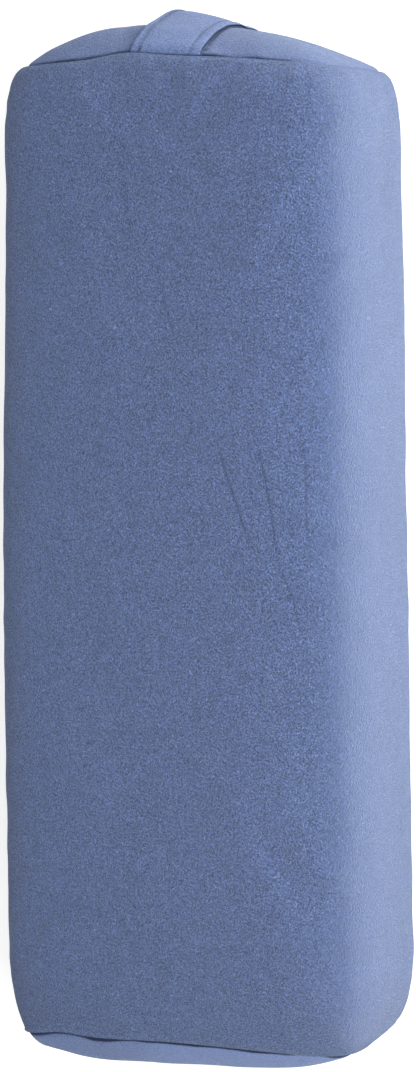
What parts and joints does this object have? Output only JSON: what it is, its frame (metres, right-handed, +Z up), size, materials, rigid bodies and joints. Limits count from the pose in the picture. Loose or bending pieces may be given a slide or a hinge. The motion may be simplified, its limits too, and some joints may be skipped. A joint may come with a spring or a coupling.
{
  "type": "rectangular meditation bolster",
  "caption": "Firm rectangular yoga and meditation bolster in soft blue velour, lying on its back, with crowned end panels and a wide carry strap over one end.",
  "frame": {"origin": "middle of the footprint, on the surface the bolster lies on", "axes": "+X across the bolster, +Y along it towards the end with the carry strap, +Z up out of its front face"},
  "size_m": [0.2652, 0.7134, 0.1525],
  "materials": {
    "velour": "soft matte nap with a pale sheen at grazing angles"
  },
  "bodies": {
    "root": {"filled_body": "velour", "end_panel_strap": "velour", "end_panel_plain": "velour", "carry_strap": "velour"}
  },
  "joints": []
}
